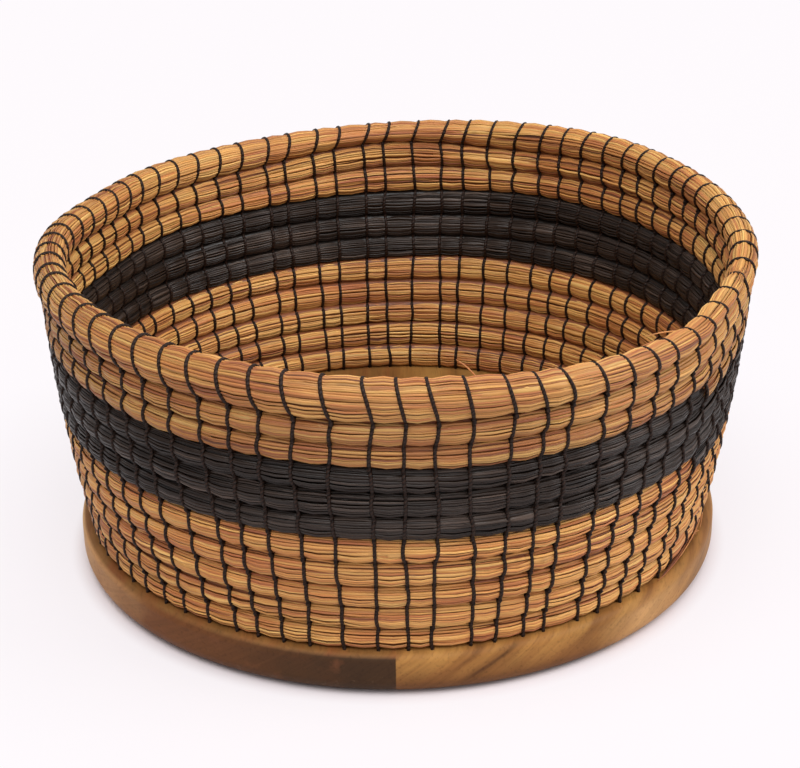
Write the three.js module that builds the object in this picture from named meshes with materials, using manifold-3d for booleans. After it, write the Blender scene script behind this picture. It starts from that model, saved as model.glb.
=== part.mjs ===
// A round pine needle basket: a rope of needles coiled up from a turned wooden base and stitched
// in upright columns with waxed thread. Millimetres, +Z up, origin at the middle of the underside,
// front of the basket towards -Y.
import * as THREE from 'three';
import { mergeVertices } from 'three/addons/utils/BufferGeometryUtils.js';
import Module from 'manifold-3d';

const wasm = await Module();
wasm.setup();

// Wooden base
const BASE_RADIUS = 97.2;
const BASE_THICKNESS = 12.7;
const SHOULDER_ROUND = 2.6; // turned top edge
const FOOT_ROUND = 5; // turned bottom edge
const GROOVE_INSET = 8.6; // base edge to the middle of the lacing groove underneath
const GROOVE_MARGIN = 1; // each side of the stitch holes

// Needle coil: rounds counted from the seam, where the colours change and the rim ends
const LOWER_ROUND_COUNT = 5;
const DARK_ROUND_COUNT = 3;
const UPPER_ROUND_COUNT = 2;
const SEAM_ANGLE = -37; // degrees from +X, seen from above
const WALL_INSET = 3.25; // base edge to the outside of the lowest round
const FLARE_ANGLE = 7.85; // outward lean of the wall, degrees
const BELLY = 1.8; // how far the wall curves out between base and rim
const COIL_WIDTH = 6.9;
const LOWER_HEIGHT = 7.65;
const DARK_HEIGHT = 7.7;
const UPPER_HEIGHT = 7.2;
const RIM_START_HEIGHT = 8.3; // rim round just past the seam
const RIM_START_WIDTH = 8.4;
const RIM_SWELL_TURNS = 1 / 12; // how soon past the seam it is that thick
const RIM_HEIGHT = 11.4; // rim round at its thickest, along the front
const RIM_WIDTH = 9.6;
const RIM_FULL_TURNS = 1 / 24; // how far it stays at its thickest
const TAPER_TURNS = 5 / 24; // how far it tapers to its end
const TIP_HEIGHT = 1.6;
const TIP_WIDTH = 5;
const START_WIDTH = 4; // first needles, laid flat on the base
const START_TURNS = 1 / 48; // where the first needles are thick enough to be a rope
const CLIMB_TURNS = 1 / 12; // past the seam, where the rope climbs onto the round before
const BLEND_TURNS = 0.5; // each side of a colour change, where the rope's height eases over
const ROUND_GAP = 0.5; // clear height between one round and the next
const END_GAP = 0.5; // between the ends of two runs of coil

// Hand-made sway of the rim, fading to nothing at the base
const PLAN_SWAY = 1.6; // long from front to back, short across the basket
const PLAN_SWAY_ANGLE = 98;
const TILT_SWAY = 1.9; // high at one side
const TILT_SWAY_ANGLE = 23;
const SADDLE_SWAY = 2.4; // high at two opposite sides
const SADDLE_SWAY_ANGLE = 27;

// Waxed thread
const COLUMN_PAIR_COUNT = 36;
const THREAD_DIAMETER = 1.1;
const THREAD_GAP = 0.35; // clear of the needles
const HOLE_GAP = 0.4; // round the thread in its hole
const GROOVE_GAP = 0.65; // above and below the thread in the groove
const TUCK_HEIGHT = 2.5; // above the base, where a stitch turns in to its hole
const MOUTH_INSET = 0.6; // outside of the lowest round to the hole's mouth

// Colours
const WOOD_COLOR = '#9a6f3f';
const NEEDLE_COLOR = '#bd8d52';
const DYED_COLOR = '#2b2725';
const THREAD_COLOR = '#2a2220';

// Fineness of the facets
const BASE_SEGMENTS = 72;
const SHOULDER_STEPS = 4;
const FOOT_STEPS = 4;
const COIL_STEPS = 24; // in one round
const COIL_SIDES = 6;
const HOLE_SIDES = 6;
const THREAD_SIDES = 3;
const LEG_STEPS = 4; // in a column's run up the wall

const darkStart = LOWER_ROUND_COUNT;
const upperStart = darkStart + DARK_ROUND_COUNT;
const rimStart = upperStart + UPPER_ROUND_COUNT;
const coilEnd = rimStart + 1 + CLIMB_TURNS;
const rimSwollen = rimStart + RIM_SWELL_TURNS;
const taperStart = coilEnd - TAPER_TURNS;
const rimFull = taperStart - RIM_FULL_TURNS;

// Height and width of the rope against the turns it has made
const heights = [
  [0, 0],
  [CLIMB_TURNS, LOWER_HEIGHT],
  [darkStart - BLEND_TURNS, LOWER_HEIGHT],
  [darkStart + BLEND_TURNS, DARK_HEIGHT],
  [upperStart - BLEND_TURNS, DARK_HEIGHT],
  [upperStart + BLEND_TURNS, UPPER_HEIGHT],
  [rimStart, UPPER_HEIGHT],
  [rimSwollen, RIM_START_HEIGHT],
  [rimFull, RIM_HEIGHT],
  [taperStart, RIM_HEIGHT],
  [coilEnd, TIP_HEIGHT],
];
const widths = [
  [0, START_WIDTH],
  [CLIMB_TURNS, COIL_WIDTH],
  [rimStart, COIL_WIDTH],
  [rimSwollen, RIM_START_WIDTH],
  [rimFull, RIM_WIDTH],
  [taperStart, RIM_WIDTH],
  [coilEnd, TIP_WIDTH],
];

function atTurns(table, turns) {
  const next = table.findIndex(([at]) => at >= turns);
  if (next < 0) return table.at(-1)[1];
  if (next === 0) return table[0][1];
  const [fromTurns, from] = table[next - 1];
  const [toTurns, to] = table[next];
  return THREE.MathUtils.mapLinear(turns, fromTurns, toTurns, from, to);
}

// The rope is straight between its steps, so its sizes are read on those straights
function along(table, turns) {
  const step = Math.floor(turns * COIL_STEPS);
  const from = atTurns(table, step / COIL_STEPS);
  const to = atTurns(table, (step + 1) / COIL_STEPS);
  return THREE.MathUtils.lerp(from, to, turns * COIL_STEPS - step);
}

// Each round lies on the one below, so its floor is the sum of the rounds under it
function roundFloor(turns) {
  const whole = Math.floor(turns);
  let floor = BASE_THICKNESS;
  for (let round = 0; round < whole; round++) {
    floor += along(heights, turns - whole + round);
  }
  return floor;
}

const roundMiddle = (turns) => roundFloor(turns) + along(heights, turns) / 2;
const rimLevel = roundMiddle(rimStart + 0.5);
const footRadius = BASE_RADIUS - WALL_INSET - COIL_WIDTH / 2;
const flare = Math.tan(THREE.MathUtils.degToRad(FLARE_ANGLE));
const angleAt = (turns) => THREE.MathUtils.degToRad(SEAM_ANGLE) + 2 * Math.PI * turns;
const wave = (size, lobes, angle, at) => size * Math.cos(lobes * (angle - THREE.MathUtils.degToRad(at)));
const share = (height) => (height - BASE_THICKNESS) / (rimLevel - BASE_THICKNESS);

function wallRadius(angle, height) {
  const part = share(height);
  const sway = wave(PLAN_SWAY, 2, angle, PLAN_SWAY_ANGLE);
  const belly = 4 * BELLY * part * (1 - part);
  return footRadius + flare * (height - BASE_THICKNESS) + belly + part * sway;
}

// A point of the wall from its angle, its distance out from the middle of the wall and its height
function wallPoint(angle, out, height, middleHeight = height) {
  const radius = wallRadius(angle, middleHeight) + out;
  const tilt = wave(TILT_SWAY, 1, angle, TILT_SWAY_ANGLE);
  const saddle = wave(SADDLE_SWAY, 2, angle, SADDLE_SWAY_ANGLE);
  const swayed = height + share(height) * (tilt + saddle);
  return new THREE.Vector3(radius * Math.cos(angle), radius * Math.sin(angle), swayed);
}

// Closed tube through rings of points, each ring anticlockwise for someone looking along the tube
function tubeGeometry(rings) {
  const sides = rings[0].length;
  const triangles = [];
  for (let ring = 0; ring + 1 < rings.length; ring++) {
    for (let side = 0; side < sides; side++) {
      const a = ring * sides + side;
      const b = ring * sides + ((side + 1) % sides);
      triangles.push(a, a + sides, b, b, a + sides, b + sides);
    }
  }
  const last = (rings.length - 1) * sides;
  for (let side = 1; side + 1 < sides; side++) {
    triangles.push(0, side, side + 1, last, last + side + 1, last + side);
  }
  const geometry = new THREE.BufferGeometry().setFromPoints(rings.flat());
  geometry.setIndex(triangles);
  geometry.computeVertexNormals();
  return geometry;
}

// Needle rope from one count of turns to another, with corners or flats above and below
function coilRings(fromTurns, toTurns) {
  const cornerTurn = (2 * Math.PI) / COIL_SIDES;
  const crest = Math.sin(cornerTurn * Math.round(COIL_SIDES / 4));
  const stops = [fromTurns];
  for (let step = Math.floor(fromTurns * COIL_STEPS) + 1; step < toTurns * COIL_STEPS; step++) {
    stops.push(step / COIL_STEPS);
  }
  stops.push(toTurns);
  return stops.map((turns) => {
    const middle = roundMiddle(turns);
    const halfWidth = along(widths, turns) / 2;
    const halfHeight = (along(heights, turns) - ROUND_GAP) / 2 / crest;
    return Array.from({ length: COIL_SIDES }, (_, side) => {
      const height = middle + halfHeight * Math.sin(cornerTurn * side);
      return wallPoint(angleAt(turns), halfWidth * Math.cos(cornerTurn * side), height, middle);
    });
  });
}

// Least distance between points of the rope that lie half a turn or more apart along it
function leastGap(rings) {
  let least = Infinity;
  for (let ring = 0; ring < rings.length; ring++) {
    for (let other = ring + Math.round(COIL_STEPS / 2); other < rings.length; other++) {
      for (const point of rings[ring]) {
        for (const across of rings[other]) least = Math.min(least, point.distanceTo(across));
      }
    }
  }
  return least;
}

// Unbroken thread along points, its section carried from one to the next without twist
function threadGeometry(points) {
  const steps = points.slice(1).map((point, i) => point.clone().sub(points[i]).normalize());
  const headings = points.map((_, i) => {
    const before = steps[Math.max(i - 1, 0)];
    const after = steps[Math.min(i, steps.length - 1)];
    return before.clone().add(after).normalize();
  });
  const normal = new THREE.Vector3(-points[0].y, points[0].x, 0).normalize();
  const turn = new THREE.Quaternion();
  const rings = points.map((point, i) => {
    if (i > 0) normal.applyQuaternion(turn.setFromUnitVectors(headings[i - 1], headings[i]));
    const across = normal.clone().cross(headings[i]);
    return Array.from({ length: THREAD_SIDES }, (_, side) => {
      const angle = (2 * Math.PI * side) / THREAD_SIDES;
      return point
        .clone()
        .addScaledVector(normal, (THREAD_DIAMETER / 2) * Math.cos(angle))
        .addScaledVector(across, (THREAD_DIAMETER / 2) * Math.sin(angle));
    });
  });
  return tubeGeometry(rings);
}

// Slanted stitch hole: its mouth at the foot of the wall and its foot in the groove underneath
const holeDiameter = THREAD_DIAMETER + 2 * HOLE_GAP;
const grooveRadius = BASE_RADIUS - GROOVE_INSET;
const grooveHalf = holeDiameter / 2 + GROOVE_MARGIN;
const grooveDepth = THREAD_DIAMETER + 2 * GROOVE_GAP;
const mouthRadius = BASE_RADIUS - WALL_INSET - MOUTH_INSET;
const shoulderOut = Math.max(mouthRadius - (BASE_RADIUS - SHOULDER_ROUND), 0);
const shoulderDrop = SHOULDER_ROUND - Math.sqrt(SHOULDER_ROUND ** 2 - shoulderOut ** 2);
const holeFoot = new THREE.Vector2(grooveRadius, grooveDepth / 2);
const holeMouth = new THREE.Vector2(mouthRadius, BASE_THICKNESS - shoulderDrop);
const holeHeading = holeMouth.clone().sub(holeFoot).normalize();
const holeTop = holeMouth.clone().addScaledVector(holeHeading, holeDiameter / 2);

const columns = 2 * COLUMN_PAIR_COUNT;
const columnTurns = (column) => (column + 0.5) / columns;
const spoke = (angle, { x, y }) => new THREE.Vector3(x * Math.cos(angle), x * Math.sin(angle), y);

// Flats of the faceted coil lie inside its true round by this factor
function facet(turns) {
  const half = Math.PI / COIL_STEPS;
  const past = (turns * COIL_STEPS) % 1;
  return Math.cos(half) / Math.cos((2 * past - 1) * half);
}

// Stitch column from its inner foot, over the rim and down through the base
function columnPoints(column) {
  const part = columnTurns(column);
  const angle = angleAt(part);
  const rimTurns = Math.floor(coilEnd - part) + part;
  const clear = THREAD_GAP + THREAD_DIAMETER / 2;
  const flat = facet(part);
  const beside = (out, height, middle) => {
    const facetShift = (1 - flat) * (wallRadius(angle, middle) + out);
    return wallPoint(angle, out + Math.sign(out) * clear - facetShift, height, middle);
  };
  const legTop = roundMiddle(rimTurns - 1);
  const legTopWidth = along(widths, rimTurns - 1);
  const rimOut = along(widths, rimTurns) / 2;
  const rimMiddle = roundMiddle(rimTurns);
  const rimTop = roundFloor(rimTurns) + along(heights, rimTurns) - ROUND_GAP / 2 + clear;
  const innerFoot = BASE_THICKNESS + THREAD_GAP;
  const tuck = BASE_THICKNESS + TUCK_HEIGHT;
  const leg = (side, foot) =>
    Array.from({ length: LEG_STEPS + 1 }, (_, step) => {
      const height = THREE.MathUtils.lerp(foot, legTop, step / LEG_STEPS);
      const width = step < LEG_STEPS ? COIL_WIDTH : legTopWidth;
      return beside((side * width) / 2, height, height);
    });
  return [
    ...leg(-1, innerFoot),
    beside(-rimOut, rimMiddle, rimMiddle),
    beside(-rimOut / 2, rimTop, rimMiddle),
    beside(rimOut / 2, rimTop, rimMiddle),
    beside(rimOut, rimMiddle, rimMiddle),
    ...leg(1, tuck).reverse(),
    spoke(angle, holeTop),
    spoke(angle, holeFoot),
  ];
}

function arc(centreRadius, centreHeight, radius, fromDegrees, steps) {
  return Array.from({ length: steps + 1 }, (_, step) => {
    const angle = THREE.MathUtils.degToRad(fromDegrees + (90 * step) / steps);
    return new THREE.Vector2(
      centreRadius + radius * Math.cos(angle),
      centreHeight + radius * Math.sin(angle),
    );
  });
}

function solid(geometry) {
  geometry.deleteAttribute('normal');
  geometry.deleteAttribute('uv');
  const merged = mergeVertices(geometry);
  return new wasm.Manifold(
    new wasm.Mesh({
      numProp: 3,
      vertProperties: new Float32Array(merged.attributes.position.array),
      triVerts: new Uint32Array(merged.index.array),
    }),
  );
}

function baseGeometry() {
  const profile = [
    new THREE.Vector2(0, 0),
    new THREE.Vector2(grooveRadius - grooveHalf, 0),
    new THREE.Vector2(grooveRadius - grooveHalf, grooveDepth),
    new THREE.Vector2(grooveRadius + grooveHalf, grooveDepth),
    new THREE.Vector2(grooveRadius + grooveHalf, 0),
    ...arc(BASE_RADIUS - FOOT_ROUND, FOOT_ROUND, FOOT_ROUND, -90, FOOT_STEPS),
    ...arc(BASE_RADIUS - SHOULDER_ROUND, BASE_THICKNESS - SHOULDER_ROUND, SHOULDER_ROUND, 0, SHOULDER_STEPS),
    new THREE.Vector2(0, BASE_THICKNESS),
  ];
  const disc = new THREE.LatheGeometry(profile, BASE_SEGMENTS).rotateX(Math.PI / 2);
  let base = solid(disc);
  const holeLength = holeTop.distanceTo(holeFoot);
  for (let column = 0; column < columns; column++) {
    const angle = angleAt(columnTurns(column));
    const foot = spoke(angle, holeFoot);
    const top = spoke(angle, holeTop);
    const drill = new THREE.CylinderGeometry(holeDiameter / 2, holeDiameter / 2, holeLength, HOLE_SIDES);
    const upright = new THREE.Vector3(0, 1, 0);
    const lean = new THREE.Quaternion().setFromUnitVectors(upright, top.clone().sub(foot).normalize());
    const middle = foot.clone().add(top).divideScalar(2);
    drill.applyQuaternion(lean).translate(middle.x, middle.y, middle.z);
    base = base.subtract(solid(drill));
  }
  const cut = base.getMesh();
  const geometry = new THREE.BufferGeometry();
  geometry.setAttribute('position', new THREE.BufferAttribute(cut.vertProperties, 3));
  geometry.setIndex(new THREE.BufferAttribute(cut.triVerts, 1));
  geometry.computeVertexNormals();
  return geometry;
}

const basket = new THREE.Group();

function addPiece(name, geometry, color, roughness) {
  const material = new THREE.MeshStandardMaterial({ color, roughness, metalness: 0 });
  const mesh = new THREE.Mesh(geometry, material);
  mesh.name = name;
  basket.add(mesh);
}

function addCoil(name, fromTurns, toTurns, color) {
  const rings = coilRings(fromTurns, toTurns);
  console.log(`${name}: least gap to itself ${leastGap(rings).toFixed(2)} mm`);
  addPiece(name, tubeGeometry(rings), color, 0.6);
}

const endTurns = END_GAP / 2 / (2 * Math.PI * footRadius);
addPiece('wood_base', baseGeometry(), WOOD_COLOR, 0.45);
addCoil('lower_coil', START_TURNS, darkStart - endTurns, NEEDLE_COLOR);
addCoil('dark_coil', darkStart + endTurns, upperStart - endTurns, DYED_COLOR);
addCoil('upper_coil', upperStart + endTurns, coilEnd, NEEDLE_COLOR);

for (let pair = 0; pair < COLUMN_PAIR_COUNT; pair++) {
  const there = columnPoints(2 * pair);
  const back = columnPoints(2 * pair + 1).reverse();
  const name = `stitch_pair_${String(pair + 1).padStart(2, '0')}`;
  addPiece(name, threadGeometry([...there, ...back]), THREAD_COLOR, 0.5);
}

export default basket;
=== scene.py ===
import math

import bmesh
import bpy
import numpy as np
from mathutils import Matrix, Vector


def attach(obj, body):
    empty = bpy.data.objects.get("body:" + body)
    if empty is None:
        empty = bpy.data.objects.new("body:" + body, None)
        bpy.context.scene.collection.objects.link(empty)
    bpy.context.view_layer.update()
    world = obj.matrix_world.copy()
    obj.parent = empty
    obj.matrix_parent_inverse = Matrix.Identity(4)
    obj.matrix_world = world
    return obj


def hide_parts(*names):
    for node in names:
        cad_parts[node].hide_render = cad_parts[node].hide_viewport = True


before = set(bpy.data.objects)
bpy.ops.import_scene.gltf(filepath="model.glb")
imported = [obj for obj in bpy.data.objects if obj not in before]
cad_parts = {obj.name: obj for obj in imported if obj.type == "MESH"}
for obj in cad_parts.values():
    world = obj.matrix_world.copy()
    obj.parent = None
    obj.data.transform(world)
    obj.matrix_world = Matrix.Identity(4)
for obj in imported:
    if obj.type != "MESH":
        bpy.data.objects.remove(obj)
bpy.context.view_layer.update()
scene = bpy.context.scene
scene.view_settings.view_transform = "Standard"
mm = 0.001


def linear(hexColor):  # sRGB hex to the linear values that shaders take
    values = [int(hexColor[i:i + 2], 16) / 255 for i in (1, 3, 5)]
    return [v / 12.92 if v <= 0.04045 else ((v + 0.055) / 1.055) ** 2.4 for v in values] + [1]


def fill(tree, node, settings=None, links=None):  # a node's values, and what feeds its sockets
    for name, value in (settings or {}).items():
        if isinstance(name, int) or name in node.inputs:
            node.inputs[name].default_value = value
        else:
            setattr(node, name, value)
    for name, source in (links or {}).items():  # a node stands for its first output
        tree.links.new(getattr(source, "outputs", [source])[0], node.inputs[name])
    return node


def addNode(tree, kind, settings=None, links=None):
    return fill(tree, tree.nodes.new("ShaderNode" + kind), settings, links)


mapSpan = ("From Min", "From Max", "To Min", "To Max")
mixColor = {"data_type": "RGBA"}


def newMaterial(name):
    material = bpy.data.materials.new(name)
    material.use_nodes = True
    tree = material.node_tree
    return material, tree, tree.nodes["Principled BSDF"]


def setRamp(node, stops):
    ramp = node.color_ramp
    while len(ramp.elements) < len(stops):
        ramp.elements.new(0.5)
    for element, (place, color) in zip(ramp.elements, stops):
        element.position = place
        element.color = linear(color)


def smooth(low, high, value):
    part = np.clip((value - low) / (high - low), 0, 1)
    return part * part * (3 - 2 * part)


def unit(vectors):
    return vectors / np.linalg.norm(vectors, axis=1, keepdims=True)


def runAlong(points):  # distance from the first point to each
    return np.concatenate([[0], np.cumsum(np.linalg.norm(np.diff(points, axis=0), axis=1))])


def evenAngles(count):  # radians, once round
    return 2 * math.pi * np.arange(count) / count


def addObject(name, data):
    added = bpy.data.objects.new(name, data)
    scene.collection.objects.link(added)
    return added


# camera first, at the photograph's angle
cameraView = {
    "place": (-2.85, -559.97, 310.32), "pitch": 25.114, "pan": 0.428, "roll": -0.9,  # mm and degrees
    "lens": 91.635, "sensor": 36, "clip": (0.01, 20),
}


def makeCamera(view):
    pitch, pan, roll = (math.radians(view[k]) for k in ("pitch", "pan", "roll"))
    ahead = Vector((math.sin(pan) * math.cos(pitch), math.cos(pan) * math.cos(pitch), -math.sin(pitch)))
    right = ahead.cross(Vector((0, 0, 1))).normalized()
    up = right.cross(ahead)
    right, up = (math.cos(roll) * right + math.sin(roll) * up, math.cos(roll) * up - math.sin(roll) * right)
    data = bpy.data.cameras.new("camera")
    data.sensor_fit, data.sensor_width, data.lens = "HORIZONTAL", view["sensor"], view["lens"]
    data.clip_start, data.clip_end = view["clip"]
    camera = addObject("camera", data)
    turned = Matrix((right, up, -ahead)).transposed().to_4x4()
    camera.matrix_world = Matrix.Translation(Vector(view["place"]) * mm) @ turned
    scene.camera = camera


makeCamera(cameraView)
print("camera set")

# the wall: one rope of needles, level but for a climb past the seam, sized as the solids, mm and degrees
wall = {
    "baseRadius": 97.2, "baseThickness": 12.7, "wallInset": 3.25, "flare": 7.85, "belly": 1.8, "seam": -37,
    "lowerRounds": 5, "darkRounds": 3, "upperRounds": 2, "coilWidth": 6.9,
    "lowerHeight": 7.65, "darkHeight": 7.7, "upperHeight": 7.2,
    "rimStartHeight": 8.3, "rimStartWidth": 8.4, "rimSwell": 1 / 12,
    "rimHeight": 11.4, "rimWidth": 9.6, "rimFull": 1 / 24, "taper": 5 / 24,
    "tipHeight": 1.6, "tipWidth": 5, "startWidth": 4, "climb": 1 / 12, "blend": 0.5, "meanOut": 3,
    "tipSettle": 1.3, "settleTurns": (0.075, 0.03),  # mm that the tail's tip sinks, turns before its end
    "planSway": (1.6, 98), "tiltSway": (1.9, 23), "saddleSway": (2.4, 27),
    "dents": [(158, 14, -2.6), (-9, 11, 1.5), (27, 13, -1.3)],  # at the rim: degrees, their reach, mm out
    "rowWaves": [(2.3, 0.22), (5.7, 0.2), (9.1, 0.14)],  # per round, mm up
    "wavesFrom": (0.6, 1.6), "wavesTo": (0.97, 0.8),  # turns from the start, and from the rim's start
    "rowBumps": [(9.353, 0.055, 1.5), (10.353, 0.055, 3.4)],  # turns, their reach, mm up: fat rows behind
}
darkStart = wall["lowerRounds"]
upperStart = darkStart + wall["darkRounds"]
rimStart = upperStart + wall["upperRounds"]
climb, blend, swell, full = (wall[k] for k in ("climb", "blend", "rimSwell", "rimFull"))
coilEnd = rimStart + 1 + climb  # the tail of the rim fills the climb
taperStart = coilEnd - wall["taper"]
heightTurns = [0, climb, darkStart - blend, darkStart + blend, upperStart - blend, upperStart + blend,
               rimStart, rimStart + swell, taperStart - full, taperStart, coilEnd]
heightSizes = [0] + [wall[part + "Height"] for part in (
    "lower", "lower", "dark", "dark", "upper", "upper", "rimStart", "rim", "rim", "tip")]
widthTurns = [0, climb, rimStart, rimStart + swell, taperStart - full, taperStart, coilEnd]
widthSizes = [wall[part + "Width"] for part in ("start", "coil", "coil", "rimStart", "rim", "rim", "tip")]


def trueHeight(turns):
    return np.interp(turns, heightTurns, heightSizes)


def handLaid(turns):  # mm that the underside of a hand-laid round lies above its true place
    turns = np.asarray(turns, float)
    none, most = (rimStart + past for past in wall["wavesTo"])
    fade = smooth(*wall["wavesFrom"], turns) * smooth(none, most, turns)
    lift = sum(size * np.sin(2 * math.pi * count * turns) for count, size in wall["rowWaves"])
    lift = lift + sum(size * np.exp(-((turns - at) / reach) ** 2) for at, reach, size in wall["rowBumps"])
    return fade * lift


def ropeHeight(turns):
    return trueHeight(turns) + handLaid(turns + 1) - handLaid(turns)


def ropeWidth(turns):
    return np.interp(turns, widthTurns, widthSizes)


def roundFloor(turns):  # each round lies on the ones under it
    turns = np.asarray(turns, float)
    whole = np.floor(turns)
    start, stop = (coilEnd - before for before in wall["settleTurns"])
    floor = wall["baseThickness"] + handLaid(turns) - wall["tipSettle"] * smooth(start, stop, turns)
    for under in range(rimStart + 1):
        floor = floor + np.where(under < whole, trueHeight(turns - whole + under), 0)
    return floor


footRadius = wall["baseRadius"] - wall["wallInset"] - wall["coilWidth"] / 2
rimLevel = float(roundFloor(rimStart + 0.5) + trueHeight(rimStart + 0.5) / 2)
meanTurn = 2 * math.pi * (footRadius + wall["meanOut"])  # mm of rope in one round, near enough for lengths


def wave(sway, lobes, angle):
    return sway[0] * np.cos(lobes * (angle - math.radians(sway[1])))


def share(height):
    return (height - wall["baseThickness"]) / (rimLevel - wall["baseThickness"])


def ropePoint(turns, out, up):  # out and up in mm from the middle of the rope, point in metres
    angle = math.radians(wall["seam"]) + 2 * math.pi * turns
    middle = roundFloor(turns) + ropeHeight(turns) / 2
    lean = math.tan(math.radians(wall["flare"])) * (middle - wall["baseThickness"])
    part = share(middle)
    sway = wave(wall["planSway"], 2, angle)
    for at, reach, size in wall["dents"]:
        away = (angle - math.radians(at) + math.pi) % (2 * math.pi) - math.pi
        sway = sway + size * np.exp(-(away / math.radians(reach)) ** 2)
    radius = footRadius + lean + 4 * wall["belly"] * part * (1 - part) + part * sway + out
    height = middle + up
    height = height + share(height) * (wave(wall["tiltSway"], 1, angle) + wave(wall["saddleSway"], 2, angle))
    return np.stack([radius * np.cos(angle), radius * np.sin(angle), height], -1) * mm


# where each stitch sits: 72 columns a round, spaced as given
stitching = {
    "seed": 27, "columns": 72, "columnDrift": 0.45, "roundDrift": 0.22,  # mm, one sigma
    "pinch": 0.56, "pinchReach": 1.9,  # mm that a stitch pulls the needles in, and how far along
    "threadRadius": 0.53, "radiusSpread": (0.94, 1.06), "lift": 0.16, "sides": 7, "spacing": 0.75,
    "threadSeed": 8, "overFrom": 0.5,  # sine from which a stitch goes over the tail
    "leastHeight": 1.8, "boundHeight": 3.6,  # mm of rope, and of tail, that has stitches of its own
    "endClear": 0.006, "tailClear": 0.02,  # turns before the end, for a stitch and for one over the tail
    "wrap": (242, -62), "footWrap": -38, "steps": 36, "bow": 0.2,  # degrees round the rope, mm sideways
    "dip": ((0.30, -1.2), (0.62, -0.35)), "footDip": ((0.78, -0.1), (0.72, -2.0)),  # half widths out, mm down
    "tight": 0.65, "tightTurns": 0.03,  # mm that the last one is drawn in over the needle ends
    "slants": [0, 0, 0, 0, 0, 0, -0.1, -0.3, -0.5, -0.3, 0.4, -1.9],  # mm along, from the base up to the rim
}
chance = np.random.default_rng(stitching["seed"])
columnCount = stitching["columns"]
rowCount = rimStart + 2  # the last is the rim's tail
columnPlaces = (np.arange(columnCount) + 0.5) / columnCount
hasTail = columnPlaces < climb
drift = chance.normal(0, stitching["columnDrift"], columnCount)
knots = np.zeros((rowCount + 1, columnCount))  # mm along of each column's knots, between the rounds
for level in range(rowCount, -1, -1):
    drift = drift + chance.normal(0, stitching["roundDrift"], columnCount)
    slant = np.array(stitching["slants"])[np.clip(level - hasTail, 0, rowCount - 1)]
    knots[level] = drift + slant
stitchTurns = np.arange(rowCount)[:, None] + columnPlaces + (knots[:-1] + knots[1:]) / 2 / meanTurn
lastStitch = coilEnd - stitching["endClear"]
allStitches = np.sort(stitchTurns[stitchTurns < lastStitch])
overTail = stitchTurns[rimStart] + 1  # the rim's stitches that hold its own thin end as well
holdsTail = (overTail < coilEnd - stitching["tailClear"]) & (ropeHeight(overTail) < stitching["boundHeight"])
tailEnd = float(overTail[holdsTail].max())


def stitchNearness(turns):  # 1 under a stitch, falling to 0 between two
    after = np.clip(np.searchsorted(allStitches, turns), 1, len(allStitches) - 1)
    gap = np.minimum(np.abs(turns - allStitches[after - 1]), np.abs(allStitches[after] - turns)) * meanTurn
    return np.exp(-(gap / stitching["pinchReach"]) ** 2)


section = {
    "round": 2.25, "rim": 2.15,  # 2 is an ellipse, more is squarer
    "press": 0.25, "leastHalf": (0.15, 0.1),  # mm
}


def roundness(turns):
    return np.interp(turns, [rimStart, rimStart + swell], [section["round"], section["rim"]])


def ropeEdge(turns, around, inset, stretch=0):  # mm out and up of the rope's surface, inset or lifted
    pull = stitching["pinch"] * stitchNearness(turns) + inset
    leastWidth, leastHeight = section["leastHalf"]
    halfWidth = np.maximum(ropeWidth(turns) / 2 - pull, leastWidth)
    halfHeight = np.maximum(ropeHeight(turns) / 2 + section["press"] - pull + stretch, leastHeight)
    across, along = np.cos(around), np.sin(around)
    power = 2 / roundness(turns)
    out = halfWidth * np.sign(across) * np.abs(across) ** power
    up = halfHeight * np.sign(along) * np.abs(along) ** power
    return out, up


# meshes made of many thin tubes, each a row of the bake map with a little of it free at ends and sides
bakeRow = {"ends": 0.005, "sides": 0.08}


def emptyBatch():
    return {"points": [], "faces": [], "strand": [], "OFBake": [], "tint": [], "count": 0, "tubes": 0}


def addTube(batch, rings, along, tint, strip, wraps=1):  # rings: (steps, sides, 3), along: mm, strip: to bake
    steps, sides = rings.shape[:2]
    index = batch["count"] + np.arange(steps * sides).reshape(steps, sides)
    beside = np.roll(index, -1, 1)
    batch["points"].append(rings.reshape(-1, 3))
    batch["faces"] += np.stack([index[:-1], beside[:-1], beside[1:], index[1:]], -1).reshape(-1, 4).tolist()
    batch["faces"] += [index[0, ::-1].tolist(), index[-1].tolist()]
    turn = np.arange(sides + 1) / sides
    low, high = strip
    bakeAlong = bakeRow["ends"] + (1 - 2 * bakeRow["ends"]) * (along / max(along[-1], 1e-9))
    bakeAround = low + (high - low) * turn
    for layer, lengthwise, around in (("strand", along, turn * wraps), ("OFBake", bakeAlong, bakeAround)):
        near, far = lengthwise[:-1, None], lengthwise[1:, None]
        here, after = around[None, :-1], around[None, 1:]
        pairs = ((near, here), (near, after), (far, after), (far, here))
        corners = np.stack([np.stack(np.broadcast_arrays(*pair), -1) for pair in pairs], -2)
        start = np.stack([np.full(sides, lengthwise[0]), around[:-1][::-1]], -1)
        stop = np.stack([np.full(sides, lengthwise[-1]), around[:-1]], -1)
        batch[layer] += [corners.reshape(-1, 2), start, stop]
    batch["tint"].append(np.broadcast_to(tint, (steps * sides, 4)) if np.ndim(tint) == 1 else tint)
    batch["count"] += steps * sides
    batch["tubes"] += 1


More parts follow.
